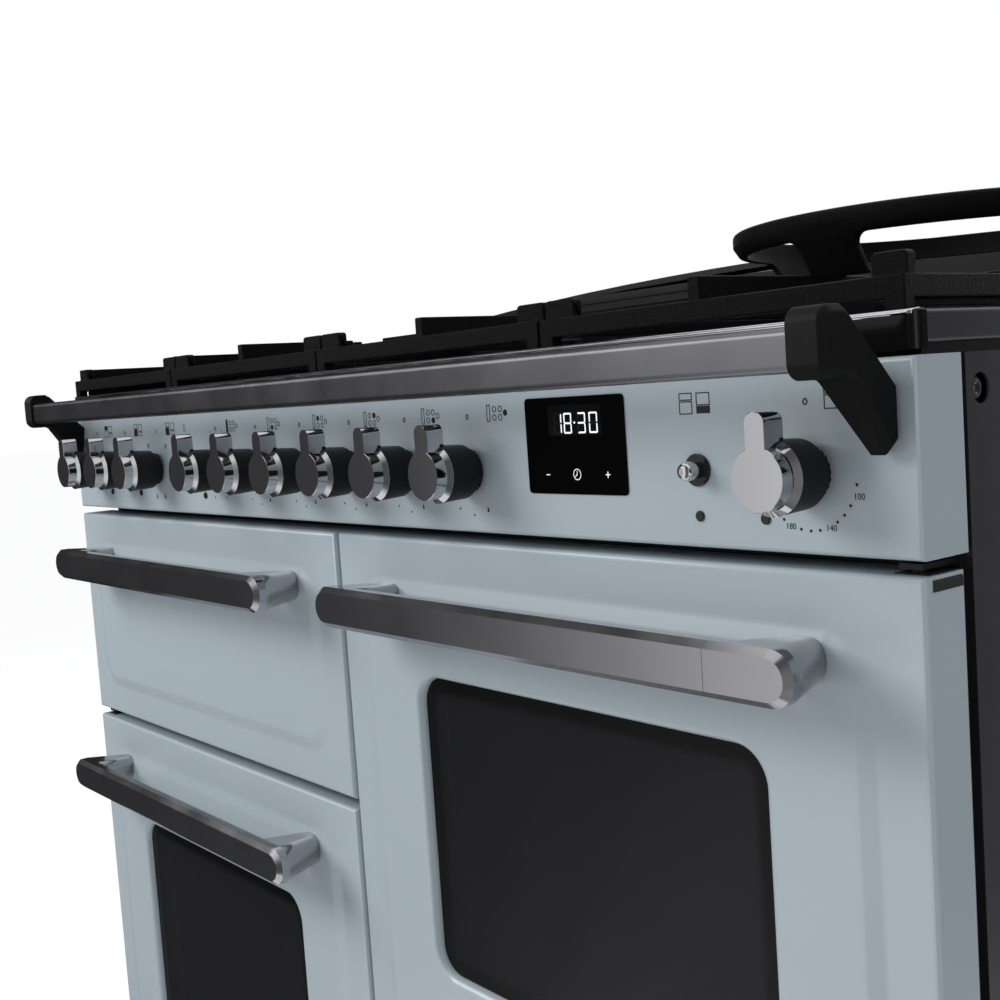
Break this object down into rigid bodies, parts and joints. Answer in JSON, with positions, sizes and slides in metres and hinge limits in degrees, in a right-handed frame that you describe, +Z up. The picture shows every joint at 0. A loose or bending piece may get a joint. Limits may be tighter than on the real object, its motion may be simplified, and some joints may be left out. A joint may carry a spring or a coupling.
{
  "type": "range cooker",
  "caption": "Freestanding range cooker: gas hob with cast pan supports and wok ring, knob panel with towel rail, side-hinged oven doors and a pull-out grill",
  "frame": {"origin": "on the floor, under the middle of the cooker's bounding box", "axes": "+X to the cooker's right side as seen from the front, +Y from the doors to the back, +Z up"},
  "size_m": [1.092, 0.666, 0.998],
  "materials": {
    "paint": "satin pale blue-grey stove enamel on pressed steel",
    "side_panels": "dark gunmetal satin paint",
    "carcass": "zinc-coated sheet steel",
    "clock_glass": "polished black glass",
    "dark_chrome": "polished black chrome",
    "chrome": "polished chrome",
    "knob_chrome": "black chrome disc on an anthracite drum",
    "rail_metal": "satin gunmetal",
    "cast_brackets": "fine-textured matt black",
    "hob_enamel": "gloss black vitreous enamel",
    "trim_enamel": "gloss black enamel, gunmetal at the sides",
    "vent_steel": "satin dark enamel",
    "burner_alloy": "die-cast alloy",
    "burner_enamel": "matt black enamel",
    "pipes": "drawn alloy pipe",
    "switch_plastic": "moulded switch bodies",
    "oven_enamel": "gloss speckled oven enamel",
    "elements": "sheathed heating rod, heat-darkened",
    "motor_steel": "zinc-coated motor casing",
    "seal_rubber": "silicone oven seal",
    "hinge_steel": "zinc-plated steel",
    "fan_steel": "pressed stainless fan",
    "oven_glass": "tinted toughened glass",
    "rack_chrome": "chrome-plated wire",
    "cast_iron": "matt enamelled cast iron",
    "roller_plastic": "hard nylon roller"
  },
  "bodies": {
    "cooker": {"base_chassis": "carcass", "left_side_panel": "side_panels", "right_side_panel": "side_panels", "back_panel": "carcass", "carcass_frame": "carcass", "plinth": "side_panels", "control_panel": "paint", "clock": "clock_glass", "button_bezel_and_lamps": "dark_chrome", "towel_rail": "rail_metal", "rail_brackets": "cast_brackets", "hob_tray": "hob_enamel", "hob_trims": "trim_enamel", "rear_vent": "vent_steel", "burner_bodies": "burner_alloy", "burner_caps": "burner_enamel", "gas_manifold": "pipes", "switch_bank": "switch_plastic", "grill_cavity": "oven_enamel", "left_oven_cavity": "oven_enamel", "right_oven_cavity": "oven_enamel", "slow_oven_cavity": "oven_enamel", "heating_elements": "elements", "fan_motors": "motor_steel", "door_seals": "seal_rubber", "hinge_brackets": "hinge_steel", "feet_and_forks": "hinge_steel", "left_oven_rack": "rack_chrome", "right_oven_rack": "rack_chrome"},
    "right_oven_door": {"right_oven_door": "paint", "right_oven_glass": "oven_glass", "right_oven_handle": "dark_chrome"},
    "left_oven_door": {"left_oven_door": "paint", "left_oven_glass": "oven_glass", "left_oven_handle": "dark_chrome"},
    "slow_oven_door": {"slow_oven_door": "paint", "slow_oven_handle": "dark_chrome"},
    "grill_drawer": {"grill_door": "paint", "grill_handle": "dark_chrome", "grill_carriage": "rack_chrome", "grill_pan": "oven_enamel"},
    "ignition_button": {"ignition_button": "chrome"},
    "left_fan": {"left_fan": "fan_steel"},
    "right_fan": {"right_fan": "fan_steel"},
    "rear_rollers": {"rear_rollers": "roller_plastic"},
    "pan_support_1": {"pan_support_1": "cast_iron"},
    "pan_support_2": {"pan_support_2": "cast_iron"},
    "pan_support_3": {"pan_support_3": "cast_iron"},
    "pan_support_4": {"pan_support_4": "cast_iron"},
    "wok_ring": {"wok_ring": "cast_iron"},
    "knob_1": {"knob_1": "knob_chrome"},
    "knob_2": {"knob_2": "knob_chrome"},
    "knob_3": {"knob_3": "knob_chrome"},
    "knob_4": {"knob_4": "knob_chrome"},
    "knob_5": {"knob_5": "knob_chrome"},
    "knob_6": {"knob_6": "knob_chrome"},
    "knob_7": {"knob_7": "knob_chrome"},
    "knob_8": {"knob_8": "knob_chrome"},
    "knob_9": {"knob_9": "knob_chrome"},
    "knob_10": {"knob_10": "knob_chrome"}
  },
  "joints": [
    {"name": "right_oven_door_hinge", "type": "hinge", "parent": "cooker", "child": "right_oven_door", "pos_m": [0.533, -0.259, 0.553], "axis": [0, 0, 1], "range_deg": [0, 105]},
    {"name": "slow_oven_door_hinge", "type": "hinge", "parent": "cooker", "child": "slow_oven_door", "pos_m": [0.533, -0.259, 0.213], "axis": [0, 0, 1], "range_deg": [0, 105]},
    {"name": "left_oven_door_hinge", "type": "hinge", "parent": "cooker", "child": "left_oven_door", "pos_m": [-0.533, -0.259, 0.3215], "axis": [0, 0, -1], "range_deg": [0, 105]},
    {"name": "grill_drawer_slide", "type": "slide", "parent": "cooker", "child": "grill_drawer", "axis": [0, -1, 0], "range_m": [0, 0.3]},
    {"name": "knob_1_turn", "type": "hinge", "parent": "cooker", "child": "knob_1", "pos_m": [-0.4807, -0.295, 0.8251], "axis": [0, -1, 0], "range_deg": [-287, 0]},
    {"name": "knob_2_turn", "type": "hinge", "parent": "cooker", "child": "knob_2", "pos_m": [-0.4063, -0.295, 0.8251], "axis": [0, -1, 0], "range_deg": [-287, 0]},
    {"name": "knob_3_turn", "type": "hinge", "parent": "cooker", "child": "knob_3", "pos_m": [-0.3319, -0.295, 0.8251], "axis": [0, -1, 0], "range_deg": [-287, 0]},
    {"name": "knob_4_turn", "type": "hinge", "parent": "cooker", "child": "knob_4", "pos_m": [-0.1977, -0.295, 0.8251], "axis": [0, -1, 0], "range_deg": [0, 210]},
    {"name": "knob_5_turn", "type": "hinge", "parent": "cooker", "child": "knob_5", "pos_m": [-0.1206, -0.295, 0.8251], "axis": [0, -1, 0], "range_deg": [0, 210]},
    {"name": "knob_6_turn", "type": "hinge", "parent": "cooker", "child": "knob_6", "pos_m": [-0.0435, -0.295, 0.8251], "axis": [0, -1, 0], "range_deg": [0, 210]},
    {"name": "knob_7_turn", "type": "hinge", "parent": "cooker", "child": "knob_7", "pos_m": [0.0336, -0.295, 0.8251], "axis": [0, -1, 0], "range_deg": [0, 210]},
    {"name": "knob_8_turn", "type": "hinge", "parent": "cooker", "child": "knob_8", "pos_m": [0.1107, -0.295, 0.8251], "axis": [0, -1, 0], "range_deg": [0, 210]},
    {"name": "knob_9_turn", "type": "hinge", "parent": "cooker", "child": "knob_9", "pos_m": [0.1878, -0.295, 0.8251], "axis": [0, -1, 0], "range_deg": [0, 210]},
    {"name": "knob_10_turn", "type": "hinge", "parent": "cooker", "child": "knob_10", "pos_m": [0.4795, -0.295, 0.8251], "axis": [0, -1, 0], "range_deg": [-287, 0]},
    {"name": "ignition_button_press", "type": "slide", "parent": "cooker", "child": "ignition_button", "axis": [0, 1, 0], "range_m": [0, 0.003], "stiffness_N_per_m": 600},
    {"name": "left_fan_spin", "type": "hinge", "parent": "cooker", "child": "left_fan", "pos_m": [-0.27425, 0.1655, 0.3215], "axis": [0, 1, 0], "continuous": true},
    {"name": "right_fan_spin", "type": "hinge", "parent": "cooker", "child": "right_fan", "pos_m": [0.27425, 0.1655, 0.5535], "axis": [0, 1, 0], "continuous": true},
    {"name": "rear_roller_spin", "type": "hinge", "parent": "cooker", "child": "rear_rollers", "pos_m": [0, 0.273, 0.02], "axis": [1, 0, 0], "continuous": true},
    {"name": "pan_support_1_lift", "type": "slide", "parent": "cooker", "child": "pan_support_1", "axis": [0, 0, 1], "range_m": [0, 0.02]},
    {"name": "pan_support_2_lift", "type": "slide", "parent": "cooker", "child": "pan_support_2", "axis": [0, 0, 1], "range_m": [0, 0.02]},
    {"name": "pan_support_3_lift", "type": "slide", "parent": "cooker", "child": "pan_support_3", "axis": [0, 0, 1], "range_m": [0, 0.02]},
    {"name": "pan_support_4_lift", "type": "slide", "parent": "cooker", "child": "pan_support_4", "axis": [0, 0, 1], "range_m": [0, 0.02]},
    {"name": "wok_ring_lift", "type": "slide", "parent": "pan_support_4", "child": "wok_ring", "axis": [0, 0, 1], "range_m": [0, 0.06]}
  ]
}
